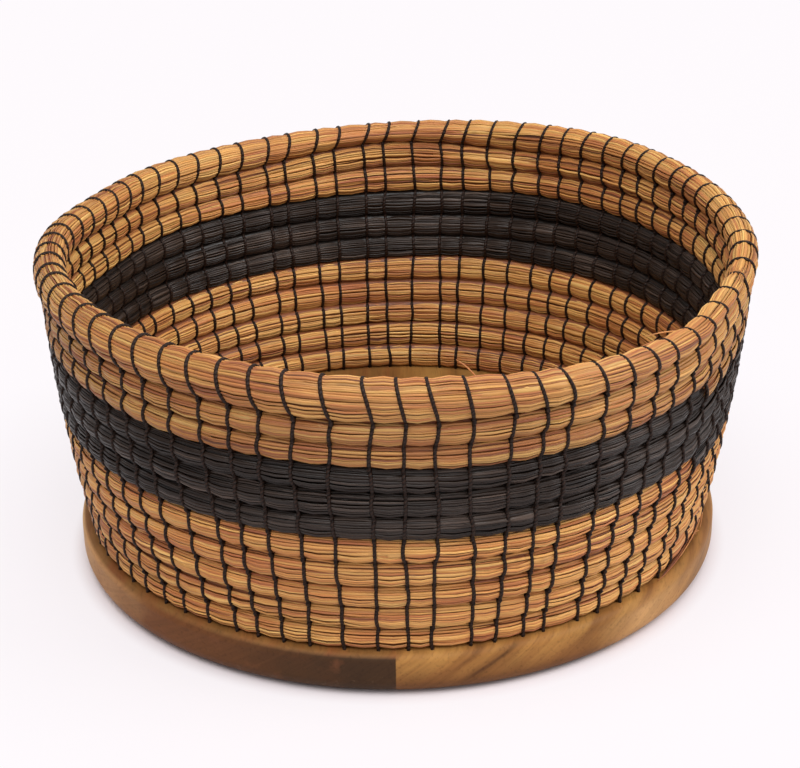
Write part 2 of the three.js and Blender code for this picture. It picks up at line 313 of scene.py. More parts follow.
def makePiece(name, batch, material, nodes):
    mesh = bpy.data.meshes.new(name)
    mesh.from_pydata(np.concatenate(batch["points"]), [], batch["faces"])
    mesh.polygons.foreach_set("use_smooth", np.ones(len(mesh.polygons), bool))
    for layer in ("strand", "OFBake"):
        corners = np.concatenate(batch[layer]).astype(np.float32).ravel()
        mesh.uv_layers.new(name=layer).data.foreach_set("uv", corners)
    tints = mesh.attributes.new("tint", "FLOAT_COLOR", "POINT")
    tints.data.foreach_set("color", np.concatenate(batch["tint"]).astype(np.float32).ravel())
    mesh.materials.append(material)
    piece = addObject(name, mesh)
    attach(piece, "root")
    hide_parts(*nodes)


# dried pine needles: smooth, waxy straw with fine lines along it, each needle its own gold or russet
needleLook = {
    "tones": ((0, "#d8ab63"), (0.3, "#c58f4d"), (0.55, "#b3733e"), (0.8, "#9a5833"), (1, "#633820")),
    "patterns": ((22, 3, 3, 0.6), (7, 1.5, 2, 0.5)),  # mm long, times round, detail, roughness
    "apart": 97, "streaks": 0.55,  # how far apart two needles' patterns are, how far hue strays along one
    "fleck": "#633820", "flecks": (0.60, 0.78, 0, 0.45),  # pattern from and to, amount from and to
    "roughness": (0.33, 0.54), "ior": 1.42, "bump": {"Strength": 0.35, "Distance": 0.15 * mm},
}
# the same needles dyed: near black with a grey sheen along each one; the palest tone, which the wide needles
# and a few short stretches reach, is a painted glint
dyedLook = {
    **needleLook, "patterns": ((18, 3, 3, 0.6), (6, 1.5, 2, 0.5)),
    "tones": ((0, "#4d4038"), (0.3, "#2b211b"), (0.55, "#241b16"), (0.8, "#1e1713"), (1, "#15100d")),
    "fleck": "#15100d", "roughness": (0.16, 0.4), "ior": 1.33,
}


def needleMaterial(name, look):
    material, tree, shader = newMaterial(name)
    tint = addNode(tree, "Attribute", {"attribute_name": "tint"})
    own = addNode(tree, "SeparateColor", links={0: tint}).outputs  # hue, shade and draw
    strand = addNode(tree, "UVMap", {"uv_map": "strand"})
    place = addNode(tree, "SeparateXYZ", links={0: strand}).outputs
    apart = addNode(tree, "Math", {"operation": "MULTIPLY", 1: look["apart"]}, {0: own["Blue"]})
    placed = addNode(tree, "CombineXYZ", links={"X": place["X"], "Y": place["Y"], "Z": apart})
    noises = []
    for length, around, detail, rough in look["patterns"]:
        size = (1 / length, around, 1)
        scaled = addNode(tree, "VectorMath", {"operation": "MULTIPLY", 1: size}, {0: placed})
        noises.append(addNode(tree, "TexNoise", {"Scale": 1.0, "Detail": detail, "Roughness": rough},
                              {"Vector": scaled}))
    streaks, flecks = noises
    most = look["streaks"]
    spread = addNode(tree, "Math", {"operation": "MULTIPLY_ADD", 1: most, 2: -most / 2}, {0: streaks})
    hue = addNode(tree, "Math", {"operation": "ADD", "use_clamp": True}, {0: own["Red"], 1: spread})
    ramp = addNode(tree, "ValToRGB", links={"Fac": hue})
    setRamp(ramp, look["tones"])
    fleckMask = addNode(tree, "MapRange", dict(zip(mapSpan, look["flecks"])), {"Value": flecks})
    flecked = addNode(tree, "Mix", {**mixColor, 7: linear(look["fleck"])}, {0: fleckMask, 6: ramp})
    shaded = addNode(tree, "Mix", {**mixColor, "blend_type": "MULTIPLY", 0: 1.0},
                     {6: flecked.outputs[2], 7: own["Green"]})
    rough = addNode(tree, "MapRange", dict(zip(mapSpan, (0, 1, *look["roughness"]))), {"Value": streaks})
    bump = addNode(tree, "Bump", look["bump"], {"Height": streaks})
    fill(tree, shader, {"IOR": look["ior"]}, {
        "Base Color": shaded.outputs[2], "Roughness": rough, "Normal": bump})
    return material


driedNeedles = needleMaterial("driedPineNeedles", needleLook)
dyedNeedles = needleMaterial("blackDyedPineNeedles", dyedLook)

# the needles of one round lie in lanes side by side, each lane a chain of needles end over end
needle = {
    "seed": 5, "spacing": 0.62, "halfWidth": (0.30, 0.48), "halfThick": (0.22, 0.33), "sides": 5,  # mm
    "plainTurn": 1.5, "plainSides": (-0.955, 0.955), "rimSides": (-0.92, 2),  # lanes shown: sines from and to
    "laneSamples": 1441, "nudge": 0.03, "mapRows": 8,  # radians aside, bake rows to a lane
    "length": (110, 220), "overlap": (8, 22), "wander": 0.28, "wanderWaves": (2, 5), "depth": 0.07,
    "wideShare": 0.14, "wideHalf": (0.7, 1.1), "wideLength": (16, 44), "wideInset": 0.1,
    "fineShare": 0.12, "fineHalf": (0.16, 0.26),
    "crossShare": 0.2, "crossing": 1.3, "crossLift": 0.12,
    "tipPart": 0.35, "tipReach": 14, "tipDip": (0.35, 5),  # a tip's share, mm to full, mm in and its reach
    "roll": (0.25, 0.3), "rollTurn": 6,  # radians, all along and swaying
    "leastRun": 0.004, "joinRun": 0.06, "cutClear": 0.0012, "tipCuts": (0.004, 0.010, 0.018),  # turns
    "cuts": (0.0, 0.18, 0.5, 0.82),  # samples between two stitches
    "hue": 0.38, "hueSpread": 0.08,
    "hueWaves": ((2, 0.06), (5, 0.06), (11, 0.06), (19, 0.04)),  # per round, size
    "rimPhases": (2.9, 1.6, 2.5, 0.3),  # the rim is browner in front and behind, paler to the right: the needles' own hue, set also to paint in a lighter right side and a darker front
    "waveSkew": 0.35, "wideWave": 0.3, "wideHue": (0.05, 0.25), "fineHue": 0.22, "tipHue": (0.16, 4),
    "cellHue": 0.12, "cellShade": 0.06, "cellSlide": 0.09, "cellDepth": 0.03,  # from one stitch to the next
    "shade": 0.955, "fineShade": 0.82, "shadeSpread": 0.06, "shadeEnds": (0.5, 1.1), "hueEnds": (0.02, 0.98),
    "upperPaintedShade": 0.27, "rimPaintedShade": 0.18, "paintedShadeFrom": (-0.3, 0.4),  # painted shade: the outside of the top rounds and of the rim made darker
}


def laneAngles(turns, low, high):  # an even distance apart round the rope, where they show
    around = np.linspace(0, 2 * math.pi, needle["laneSamples"])
    run = runAlong(np.stack(ropeEdge(np.full(len(around), turns), around, 0), -1))
    count = int(round(run[-1] / needle["spacing"]))
    lanes = np.interp((np.arange(count) + 0.5) / count * run[-1], run, around)
    return lanes[(np.sin(lanes) > low) & (np.sin(lanes) < high)]


def needleRings(turns, around, inset, halfWidth, halfThick, roll):
    here = ropePoint(turns, *ropeEdge(turns, around, inset))
    steps = (-needle["nudge"], needle["nudge"])
    before, after = (ropePoint(turns, *ropeEdge(turns, around + step, inset)) for step in steps)
    ahead = unit(np.gradient(here, axis=0))
    across = after - before
    across = unit(across - ahead * np.sum(across * ahead, 1, keepdims=True))
    outward = np.cross(across, ahead)
    ringTurn = evenAngles(needle["sides"])
    cosRoll, sinRoll = np.cos(roll)[:, None], np.sin(roll)[:, None]
    flat, proud = across * cosRoll + outward * sinRoll, outward * cosRoll - across * sinRoll
    offset = (flat[:, None] * (halfWidth[:, None] * np.cos(ringTurn))[..., None]
              + proud[:, None] * (halfThick[:, None] * np.sin(ringTurn))[..., None]) * mm
    return here[:, None] + offset, runAlong(here) / mm


def makeRound(row, chance, starts, stops, lanes, strips, batch):
    bounds = np.concatenate([allStitches[:1] - 1, allStitches, allStitches[-1:] + 1])
    samples = np.sort((bounds[:-1, None] + np.diff(bounds)[:, None] * np.array(needle["cuts"])).ravel())
    wavePhases = chance.uniform(0, 2 * math.pi, len(needle["hueWaves"]))
    if row == rimStart:
        wavePhases = needle["rimPhases"]
    paintedShade = needle["rimPaintedShade"] if row == rimStart else needle["upperPaintedShade"] if row >= upperStart else 0
    cellSizes = [needle[k] for k in ("cellHue", "cellShade", "cellSlide", "cellDepth")]
    (dip, dipReach), (brown, brownReach) = needle["tipDip"], needle["tipHue"]
    for lane, start, stop in zip(lanes, starts, stops):
        at = start
        while at < stop - needle["leastRun"]:
            kind = chance.random()
            wide, fine = kind < needle["wideShare"], kind > 1 - needle["fineShare"]
            length = chance.uniform(*needle["wideLength" if wide else "length"]) / meanTurn
            end = min(at + length, stop)
            if stop - end < needle["joinRun"]:
                end = stop
            tips = np.array(needle["tipCuts"])
            tips = tips[tips < (end - at) / 2]
            inside = samples[(samples > at + needle["cutClear"]) & (samples < end - needle["cutClear"])]
            inside = np.unique(np.concatenate([[at], at + tips, inside, end - tips, [end]]))
            part = (inside - at) / (end - at)
            near = np.minimum(inside - at, end - inside) * meanTurn  # mm from the nearer end
            cell = np.searchsorted(allStitches, inside)  # between which stitches each sample lies
            cell = cell - cell[0]
            onStitch = np.isin(inside, allStitches)
            own = chance.normal(0, 1, (cell[-1] + 2, 4)) * cellSizes
            byCell = np.where(onStitch[:, None], (own[cell] + own[cell + 1]) / 2, own[cell])
            crossing = chance.normal(0, needle["crossing"]) if chance.random() < needle["crossShare"] else 0
            waves = inside * chance.uniform(*needle["wanderWaves"]) + chance.random()
            slide = needle["wander"] * np.sin(2 * math.pi * waves) + crossing * (part - 0.5) + byCell[:, 2]
            around = lane + slide / (np.hypot(ropeWidth(inside), ropeHeight(inside)) / 2)
            inset = needle["halfThick"][0] + chance.normal(0, needle["depth"]) + needle["wideInset"] * wide
            inset = inset - needle["crossLift"] * (crossing != 0)
            inset = inset + dip * np.exp(-near / dipReach) + byCell[:, 3]
            half = chance.uniform(*needle["wideHalf" if wide else "fineHalf" if fine else "halfWidth"])
            thick = chance.uniform(*needle["halfThick"])
            taper = needle["tipPart"] + (1 - needle["tipPart"]) * smooth(0, needle["tipReach"], near)
            lean, sway = (chance.normal(0, size) for size in needle["roll"])
            roll = lean + sway * np.sin(2 * math.pi * part + chance.random() * needle["rollTurn"])
            rings, along = needleRings(inside, around, inset, half * taper, thick * taper, roll)
            hue = chance.uniform(*needle["wideHue"]) if wide else needle["hue"] + needle["fineHue"] * fine
            hue = byCell[:, 0] + hue
            for (count, size), phase in zip(needle["hueWaves"], wavePhases):
                swing = np.sin(2 * math.pi * count * inside + phase + needle["waveSkew"] * lane)
                hue = hue + size * (needle["wideWave"] if wide else 1) * swing
            hue = hue + chance.normal(0, needle["hueSpread"]) + brown * np.exp(-near / brownReach)
            tint = np.tile([0.0, 0.0, chance.random(), 1.0], (len(inside), 1))
            tint[:, 0] = np.clip(hue, *needle["hueEnds"])
            shade = chance.normal(needle["fineShade" if fine else "shade"], needle["shadeSpread"])
            # painted shade on the outward needles of the top rounds and the rim
            paintedShadeFactor = 1 - paintedShade * smooth(*needle["paintedShadeFrom"], math.cos(lane))
            tint[:, 1] = np.clip(shade + byCell[:, 1], *needle["shadeEnds"]) * paintedShadeFactor
            addTube(batch, rings, along, np.repeat(tint, needle["sides"], 0), next(strips))
            at = end - chance.uniform(*needle["overlap"]) / meanTurn if end < stop else stop


core = {
    # its tint is darker than the needles outside: painted shade for the gaps and grooves
    "inset": 0.75, "overlap": 0.1, "sides": 14, "wraps": 7, "tint": (0.8, 0.6, 0.5, 1.0),
    "thin": 2.5, "thick": 4,  # mm of rope where it starts to swell, and mm more until it fills the gaps
    "topFree": 1.015, "topFrom": 0.01,  # turns before the tail's end, sine: nothing lies over the rim there
}


def addCore(batch, start, stop, strip):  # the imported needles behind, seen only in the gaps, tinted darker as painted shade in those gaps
    between = allStitches[(allStitches > start) & (allStitches < stop)]
    turns = np.unique(np.concatenate([[start], between, [stop]]))
    turns = np.sort(np.concatenate([turns, (turns[:-1] + turns[1:]) / 2]))
    around = evenAngles(core["sides"])
    grid, ring = np.meshgrid(turns, around, indexing="ij")
    thick = np.clip((ropeHeight(grid) - core["thin"]) / core["thick"], 0, 1)
    closed = core["inset"] + core["overlap"] + stitching["pinch"] * stitchNearness(grid)  # shuts out daylight
    rimTop = (grid > tailEnd - core["topFree"]) & (np.sin(ring) > core["topFrom"])
    out, up = ropeEdge(grid, ring, core["inset"], np.where(rimTop, 0, closed * thick))
    along = (turns - turns[0]) * meanTurn
    addTube(batch, ropePoint(grid, out, up), along, np.array(core["tint"]), strip, core["wraps"])


def stripRows(count):
    for row in range(count):
        yield (row + bakeRow["sides"]) / count, (row + 1 - bakeRow["sides"]) / count


handOver = {  # turns, where the needles of one round end and the next begin
    "reach": 0.12, "changeReach": 0.0012, "first": (0.005, 0.08),  # little where the colour changes
    "tailOver": 0.006, "tailShort": (0.005, 0.03),  # past the last stitch, less up to this: upper, lower
    "upperFrom": -0.3,  # sine from which a needle of the tail is an upper one
    "coreStart": 0.01, "coreShort": 0.008,
}
plainLanes = laneAngles(needle["plainTurn"], *needle["plainSides"])
rimLanes = laneAngles(taperStart, *needle["rimSides"])
needleChance = np.random.default_rng(needle["seed"])
laneCount = max(len(plainLanes), len(rimLanes))
seamEnds = []
colorChange = {row: float(stitchTurns[row, 0]) for row in (darkStart, upperStart)}  # under a stitch
for row in range(rimStart + 2):
    reach = handOver["changeReach" if row in colorChange else "reach"]
    ends = needleChance.uniform(-reach, reach, laneCount) + colorChange.get(row, row) - row
    if row == 0:
        ends = needleChance.uniform(*handOver["first"], laneCount)
    if row == rimStart + 1:  # the tail: its upper needles run to the end
        short = np.where(np.sin(rimLanes) > handOver["upperFrom"], *handOver["tailShort"])
        short = short * needleChance.uniform(0, 1, len(rimLanes))
        ends[:len(rimLanes)] = tailEnd + handOver["tailOver"] - short - row
    seamEnds.append(row + ends)
for row in range(rimStart + 1):
    lanes = rimLanes if row == rimStart else plainLanes
    dyed = darkStart <= row < upperStart
    batch = emptyBatch()
    strips = stripRows(len(lanes) * needle["mapRows"] + 1)
    stops = seamEnds[row + 1][:len(lanes)]
    makeRound(row, needleChance, seamEnds[row][:len(lanes)], stops, lanes, strips, batch)
    start = colorChange.get(row, max(row, handOver["coreStart"]))
    stop = tailEnd - handOver["coreShort"] if row == rimStart else colorChange.get(row + 1, row + 1)
    addCore(batch, start, stop, next(strips))
    node = "lower_coil" if row < darkStart else "dark_coil" if dyed else "upper_coil"
    makePiece(f"needleRound_{row + 1:02d}", batch, dyedNeedles if dyed else driedNeedles,
              [node])
    print("needle round", row + 1, "strands", batch["tubes"], "faces", len(batch["faces"]))

# needle ends that have worked loose: root and tip as turns and mm out and up, then hue
loose = {
    "halfWidth": 0.34, "halfThick": 0.22, "steps": 12, "arch": 0.5, "thinning": 0.6, "shade": 0.95,  # mm
    "seed": 12, "aside": (0.1, 0.2, 1.0),
    "ends": [
        ((10.884, -2.2, 4.6), (10.8765, -4.4, 8.8), 0.62),  # sprung from the rim at the front
        ((10.99, -3.0, 1.6), (10.972, -6.6, 2.6), 0.45), ((10.985, -3.2, 1.0), (10.965, -5.6, 0.8), 0.6),
    ],
    "frayed": 16, "frayRoot": (0.03, 0.085), "frayTip": (-0.014, 0.045),  # first needles, splayed on the base
    "rootOut": (1.6, 3.0), "tipOut": (3.4, 4.8), "tipUp": (0.2, 1.2), "frayHue": (0.5, 1.0),
}


def makeLoose():
    batch = emptyBatch()
    chance = np.random.default_rng(loose["seed"])
    ends = list(loose["ends"])
    for _ in range(loose["frayed"]):
        keys = ("frayRoot", "frayTip", "rootOut", "tipOut", "tipUp", "frayHue")
        root, tip, rootOut, tipOut, tipUp, hue = (chance.uniform(*loose[k]) for k in keys)
        ends.append(((root, rootOut, 0.0), (tip, tipOut, tipUp), hue))
    strips = stripRows(len(ends))
    turn = evenAngles(needle["sides"])
    part = np.linspace(0, 1, loose["steps"])
    taper = (1 - loose["thinning"] * part ** 2)[:, None, None] * mm
    for root, tip, hue in ends:
        turns, out, up = (np.outer(1 - part, root) + np.outer(part, tip)).T
        points = ropePoint(turns, out, up + loose["arch"] * np.sin(math.pi * part))
        ahead = unit(np.gradient(points, axis=0))
        beside = unit(np.cross(ahead, loose["aside"]))
        above = np.cross(beside, ahead)
        flat = beside[:, None] * loose["halfWidth"] * np.cos(turn)[None, :, None]
        proud = above[:, None] * loose["halfThick"] * np.sin(turn)[None, :, None]
        rings = points[:, None] + taper * (flat + proud)
        tint = np.array([hue, loose["shade"], chance.random(), 1.0])
        addTube(batch, rings, runAlong(points) / mm, tint, next(strips))
    makePiece("looseEnds", batch, driedNeedles, [])
    print("loose ends", batch["tubes"])


makeLoose()

# waxed thread: two plies twisted, dark brown, with a soft shine on the wax
threadLook = {
    "tones": ((0.15, "#180f0b"), (0.95, "#2c1c14")), "roughness": 0.5, "ior": 1.26,
    "plies": 2, "twist": 2.3, "plyPart": 0.5,  # mm to one turn, how much they stand out from the fuzz
    "fuzz": {"Scale": 1 / (0.6 * mm), "Detail": 2.0}, "bump": {"Strength": 0.8, "Distance": 0.16 * mm},
}


def threadMaterial(name, look):
    material, tree, shader = newMaterial(name)
    strand = addNode(tree, "UVMap", {"uv_map": "strand"})
    place = addNode(tree, "SeparateXYZ", links={0: strand}).outputs
    around = 2 * math.pi * look["plies"]
    onward = addNode(tree, "Math", {"operation": "MULTIPLY", 1: around / look["twist"]}, {0: place["X"]})
    twisted = addNode(tree, "Math", {"operation": "MULTIPLY_ADD", 1: around}, {0: place["Y"], 2: onward})
    plies = addNode(tree, "Math", {"operation": "SINE"}, {0: twisted})
    fuzz = addNode(tree, "TexNoise", look["fuzz"], {"Vector": addNode(tree, "TexCoord").outputs["Object"]})
    height = addNode(tree, "Math", {"operation": "MULTIPLY_ADD", 1: look["plyPart"]}, {0: plies, 2: fuzz})
    color = addNode(tree, "ValToRGB", links={"Fac": height})
    setRamp(color, look["tones"])
    bump = addNode(tree, "Bump", look["bump"], {"Height": height})
    fill(tree, shader, {"Roughness": look["roughness"], "IOR": look["ior"]}, {
        "Base Color": color, "Normal": bump})
    return material


waxedThread = threadMaterial("waxedThread", threadLook)


def threadRings(points, radius, sideways):  # round thread along points, sideways keeps its turn steady
    ahead = unit(np.gradient(points, axis=0))
    beside = unit(sideways - ahead * np.sum(sideways * ahead, 1, keepdims=True))
    above = np.cross(beside, ahead)
    turn = evenAngles(stitching["sides"])
    offset = beside[:, None] * np.cos(turn)[None, :, None] + above[:, None] * np.sin(turn)[None, :, None]
    return points[:, None] + offset * radius * mm, runAlong(points) / mm


def evenPoints(points, spacing):  # the same path with points an even distance apart
    run = runAlong(points)
    count = max(int(round(run[-1] / (spacing * mm))), 4)
    place = np.linspace(0, run[-1], count + 1)
    return np.stack([np.interp(place, run, points[:, i]) for i in range(3)], -1)


def stitchPath(row, column):
    turns, steps = stitchTurns[row, column], stitching["steps"]
    width, height = ropeWidth(turns), ropeHeight(turns)
    start, stop = stitching["wrap"]
    around = np.radians(np.linspace(start, stop if row else stitching["footWrap"], steps))
    out, up = ropeEdge(np.full(steps, turns), around, -stitching["lift"])
    dip = np.array(stitching["dip"])
    outerDip = dip[::-1] if row else np.array(stitching["footDip"])
    out = np.concatenate([-dip[:, 0] * width / 2, out, outerDip[:, 0] * width / 2])
    up = np.concatenate([-height / 2 + dip[:, 1], up, -height / 2 + outerDip[:, 1]])
    foot, top = knots[row, column], knots[row + 1, column]
    part = np.clip(0.5 - up / height, 0, 1)
    sideways = top + (foot - top) * part + threadChance.normal(0, stitching["bow"]) * np.sin(math.pi * part)
    places = row + columnPlaces[column] + sideways / meanTurn
    points = ropePoint(places, out, up)
    if row == rimStart and holdsTail[column]:  # over the tail as well
        tight = stitching["tight"] * smooth(tailEnd - stitching["tightTurns"], tailEnd, turns + 1)
        out, up = ropeEdge(np.full(steps, turns + 1), around, tight - stitching["lift"])
        onTail = np.nonzero(np.sin(around) > stitching["overFrom"])[0]
        shifted = onTail + len(dip)
        points[shifted] = ropePoint(places[shifted] + 1, out[onTail], up[onTail])
    angle = math.radians(wall["seam"]) + 2 * math.pi * turns
    return points, np.array([-math.sin(angle), math.cos(angle), 0.0])


threadChance = np.random.default_rng(stitching["threadSeed"])
columnsEach = 6
for group in range(columnCount // columnsEach):
    batch = emptyBatch()
    strips = stripRows(columnsEach * rowCount)
    for column in range(group * columnsEach, (group + 1) * columnsEach):
        for row in range(rowCount):
            least = stitching["boundHeight" if row > rimStart else "leastHeight"]
            if ropeHeight(stitchTurns[row, column]) < least or stitchTurns[row, column] > lastStitch:
                continue
            points, sideways = stitchPath(row, column)
            points = evenPoints(points, stitching["spacing"])
            radius = stitching["threadRadius"] * threadChance.uniform(*stitching["radiusSpread"])
            rings, along = threadRings(points, radius, sideways[None])
            addTube(batch, rings, along, np.array([0.5, 1.0, threadChance.random(), 1.0]), next(strips))
    firstPair = group * columnsEach // 2
    pairs = [f"stitch_pair_{firstPair + pair + 1:02d}" for pair in range(columnsEach // 2)]
    makePiece(f"stitchColumns_{group + 1:02d}", batch, waxedThread, pairs)
print("stitches laid, in", columnCount // columnsEach, "groups of columns")

# turned wooden base
base = {
    "radius": wall["baseRadius"], "thickness": wall["baseThickness"], "shoulder": 2.6, "foot": 5.0,
    "grooveInset": 8.6, "grooveHalf": 1.95, "grooveDepth": 2.4, "hole": 1.3, "mouthInset": 0.9,
    "segments": 288, "arcSteps": 14, "holeSides": 12, "topStep": 6, "crease": 28,
}


def latheMesh(profile, segments):
    turn = evenAngles(segments)
    rings = np.stack([np.outer(profile[:, 0], np.cos(turn)), np.outer(profile[:, 0], np.sin(turn)),
                      np.outer(profile[:, 1], np.ones(segments))], -1)
    points = np.concatenate([rings.reshape(-1, 3), [[0, 0, 0], [0, 0, profile[-1, 1]]]])
    index = np.arange(len(profile) * segments).reshape(len(profile), segments)
    ahead = np.roll(index, -1, 1)
    faces = np.stack([index[:-1], ahead[:-1], ahead[1:], index[1:]], -1).reshape(-1, 4).tolist()
    under, over = len(points) - 2, len(points) - 1
    faces += [[under, b, a] for a, b in zip(index[0], ahead[0])]
    faces += [[over, a, b] for a, b in zip(index[-1], ahead[-1])]
    return points * mm, faces


def arc(radius, height, size, start):
    turn = np.radians(np.linspace(start, start + 90, base["arcSteps"] + 1))
    return np.stack([radius + size * np.cos(turn), height + size * np.sin(turn)], -1)


groove = base["radius"] - base["grooveInset"]
mouthRadius = base["radius"] - wall["wallInset"] - base["mouthInset"]
shoulderOut = max(mouthRadius - (base["radius"] - base["shoulder"]), 0)
mouthHeight = base["thickness"] - base["shoulder"] + math.sqrt(base["shoulder"] ** 2 - shoulderOut ** 2)


def spoke(angle, radius, height):
    return np.array([radius * math.cos(angle), radius * math.sin(angle), height]) * mm


def columnAngle(column):
    return math.radians(wall["seam"]) + 2 * math.pi * stitchTurns[0, column]


# turned hardwood, varnished: soft slanting golden grain to the right, browner to the left with a dark edge
woodLook = {
    "light": "#a0743d", "mid": "#8a5e30", "low": "#694323", "line": "#402614",
    # the far right's tone is painted light, and the far left's tan is lightened as painted light
    "left": "#7a542c", "litFarRight": "#b98f5e", "farLeftTanAndLight": "#cc9f69", "leftSide": "#7e4d29",
    "dark": "#3c2817", "patch": "#74472c", "dust": "#6a5440",
    "ior": 1.24, "bump": {"Strength": 0.2, "Distance": 0.1 * mm},
    "grainRise": 37, "checkRise": 30, "checkFoot": (18.5, 4.8), "checkWave": 2.0,  # degrees, mm right and up
    "stainDrift": 0.6,  # radians that the blotches move the stain
    "patterns": {  # along the grain or not, mm along, back and across, detail, roughness, distortion
        "grain": (True, (40, 75, 4.2), 4, 0.55, 0), "ring": (True, (45, 130, 0.9), 3, 0.6, 0.3),
        "pore": (False, (0.8, 9, 0.8), 2, 0.5, 0), "blotch": (False, (14.2857,) * 3, 4, 0.5, 0),
        "spot": (False, (6.25,) * 3, 3, 0.5, 0), "speck": (False, (1.81818,) * 3, 3, 0.5, 0),
    },
    "right": ((0.28, "low"), (0.46, "mid"), (0.66, "light")),
    "leftBoard": ((0.35, "leftSide"), (0.55, "left")),
    "dustLow": (7, 2.5, 0, 0.12),  # mm up from and to, how much more dust from and to
    "levels": {  # what it is read from, its values from and to, the amount from and to
        "low": ("Z", 9.5, 3.5, 0, 1), "lowEnd": ("X", 50, 64, 0.9, 0),  # darker and browner low down in front: the board's own colour with painted shade towards the foot
        # painted light: the far right of the board lighter towards its lower edge
        "pale": ("X", 54, 68, 0, 0.8), "paleTop": ("Z", 12, 9, 0, 1), "paleEnd": ("X", 69, 82, 1, 0.35),
        "check": ("offCheck", 1, 0.2, 0, 0.6), "checkStart": ("X", 15.5, 19.5, 0, 1),
        "checkStop": ("X", 32, 28, 0, 1), "checkFront": ("Y", -59.9, -60.1, 0, 1),
        "onLeft": ("X", -1.82, -1.58, 1, 0),  # the joint of the two boards
        "brown": ("round", math.radians(-174), math.radians(-136), 0, 1),  # from tan at the far left, lightened there as painted light, to brown
        "stain": ("round", math.radians(-152), math.radians(-98), 0, 1),  # and to the dark stain
        "underShoulder": ("Z", 12.3, 11.5, 0, 1), "outside": ("out", 92.5, 94, 0, 1),
        "ringShade": ("ring", 0.3, 0.65, 0.86, 1.06), "poreShade": ("pore", 0.3, 0.45, 0.8, 1),
        "blotchShade": ("blotch", 0.3, 0.7, 0.82, 1.12), "rough": ("blotch", 0, 1, 0.48, 0.62),
        "spots": ("spot", 0.6, 0.74, 0, 0.45), "specks": ("dust", 0.7, 0.82, 0, 0.4),
    },
    "products": {  # amounts that are several levels together
        "lower": ("low", "lowEnd"), "paler": ("pale", "paleEnd", "paleTop"),
        "checked": ("check", "checkStart", "checkFront", "checkStop"),
        "edge": ("underShoulder", "outside", "onLeft"), "shade": ("ringShade", "poreShade", "blotchShade"),
        "rubbed": ("spots", "edge"), "dusty": ("specks", "edge"),
    },
}


